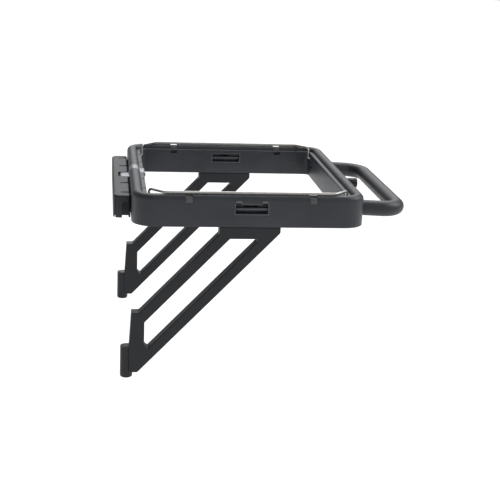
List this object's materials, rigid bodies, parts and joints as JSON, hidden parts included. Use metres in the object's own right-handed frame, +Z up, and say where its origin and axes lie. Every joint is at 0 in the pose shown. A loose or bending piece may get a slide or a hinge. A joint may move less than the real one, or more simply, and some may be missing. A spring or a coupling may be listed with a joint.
{
  "type": "folding bag carrier ring",
  "caption": "Open rounded-rectangle carrier ring that hinges up on a trolley's end, with angled side braces, wire bag bails and a tubular push handle.",
  "frame": {"origin": "centre of the hinge block's flat back face, where it meets the trolley", "axes": "+X away from the trolley towards the handle, +Y across the carrier, +Z up"},
  "size_m": [0.5276, 0.47, 0.3383],
  "materials": {
    "ring_plastic": "fine moulded texture, satin",
    "block_plastic": "fine moulded texture, satin",
    "brace_plastic": "fine moulded texture, satin",
    "handle_plastic": "smooth satin",
    "knob_plastic": "ribbed",
    "grey_plastic": "plain moulded",
    "latch_plastic": "plain moulded",
    "zinc_plate": "zinc plated",
    "bright_wire": "bright drawn wire",
    "fixing_steel": "zinc plated"
  },
  "bodies": {
    "hinge_block_body": {"hinge_block": "block_plastic", "hinge_rod": "fixing_steel", "rod_plug": "block_plastic", "near_pivot_pin": "fixing_steel", "far_pivot_pin": "fixing_steel"},
    "ring_body": {"centre_strap": "zinc_plate", "far_front_bail_bush": "grey_plastic", "far_front_clip": "grey_plastic", "far_handle_collar": "grey_plastic", "far_handle_plug": "latch_plastic", "far_handle_screw": "fixing_steel", "far_inner_bezel": "latch_plastic", "far_latch_pin": "fixing_steel", "far_latch_spring": "fixing_steel", "far_outer_bezel": "latch_plastic", "far_rear_bail_bush": "grey_plastic", "far_rear_clip": "grey_plastic", "handle_tube": "handle_plastic", "knob_nut": "fixing_steel", "knob_stud": "fixing_steel", "near_front_bail_bush": "grey_plastic", "near_front_clip": "grey_plastic", "near_handle_collar": "grey_plastic", "near_handle_plug": "latch_plastic", "near_handle_screw": "fixing_steel", "near_inner_bezel": "latch_plastic", "near_latch_pin": "fixing_steel", "near_latch_spring": "fixing_steel", "near_outer_bezel": "latch_plastic", "near_rear_bail_bush": "grey_plastic", "near_rear_clip": "grey_plastic", "ring_frame": "ring_plastic", "strap_nut": "fixing_steel", "strap_screw": "fixing_steel"},
    "near_bail_body": {"near_bail": "bright_wire"},
    "far_bail_body": {"far_bail": "bright_wire"},
    "near_lever_body": {"near_latch_lever": "latch_plastic"},
    "far_lever_body": {"far_latch_lever": "latch_plastic"},
    "knob_body": {"knob": "knob_plastic"},
    "near_brace_body": {"near_brace": "brace_plastic", "near_front_striker_screw": "fixing_steel", "near_lower_bush": "grey_plastic", "near_rear_striker_screw": "fixing_steel", "near_striker": "zinc_plate", "near_upper_bush": "grey_plastic"},
    "far_brace_body": {"far_brace": "brace_plastic", "far_front_striker_screw": "fixing_steel", "far_lower_bush": "grey_plastic", "far_rear_striker_screw": "fixing_steel", "far_striker": "zinc_plate", "far_upper_bush": "grey_plastic"}
  },
  "joints": [
    {"name": "ring_fold", "type": "hinge", "parent": "hinge_block_body", "child": "ring_body", "pos_m": [0.0185, 0, 0.0125], "axis": [0, -1, 0], "range_deg": [0, 90]},
    {"name": "near_bail_swing", "type": "hinge", "parent": "ring_body", "child": "near_bail_body", "pos_m": [0.2355, -0.193, 0.018], "axis": [-1, 0, 0], "range_deg": [0, 100]},
    {"name": "far_bail_swing", "type": "hinge", "parent": "ring_body", "child": "far_bail_body", "pos_m": [0.2355, 0.193, 0.018], "axis": [1, 0, 0], "range_deg": [0, 100]},
    {"name": "near_latch_rock", "type": "hinge", "parent": "ring_body", "child": "near_lever_body", "pos_m": [0.2355, -0.2215, 0.016], "axis": [-1, 0, 0], "range_deg": [0, 10], "stiffness_Nm_per_rad": 0.05, "springref_deg": -5.73},
    {"name": "far_latch_rock", "type": "hinge", "parent": "ring_body", "child": "far_lever_body", "pos_m": [0.2355, 0.2215, 0.016], "axis": [1, 0, 0], "range_deg": [0, 10], "stiffness_Nm_per_rad": 0.05, "springref_deg": -5.73},
    {"name": "knob_turn", "type": "hinge", "parent": "ring_body", "child": "knob_body", "pos_m": [0.437, -0.058, 0.022], "axis": [1, 0, 0], "continuous": true},
    {"name": "near_brace_swing", "type": "hinge", "parent": "hinge_block_body", "child": "near_brace_body", "pos_m": [0.025, -0.221, -0.2975], "axis": [0, 0, 1], "range_deg": [0, 90]},
    {"name": "far_brace_swing", "type": "hinge", "parent": "hinge_block_body", "child": "far_brace_body", "pos_m": [0.025, 0.221, -0.2975], "axis": [0, 0, -1], "range_deg": [0, 80]}
  ]
}
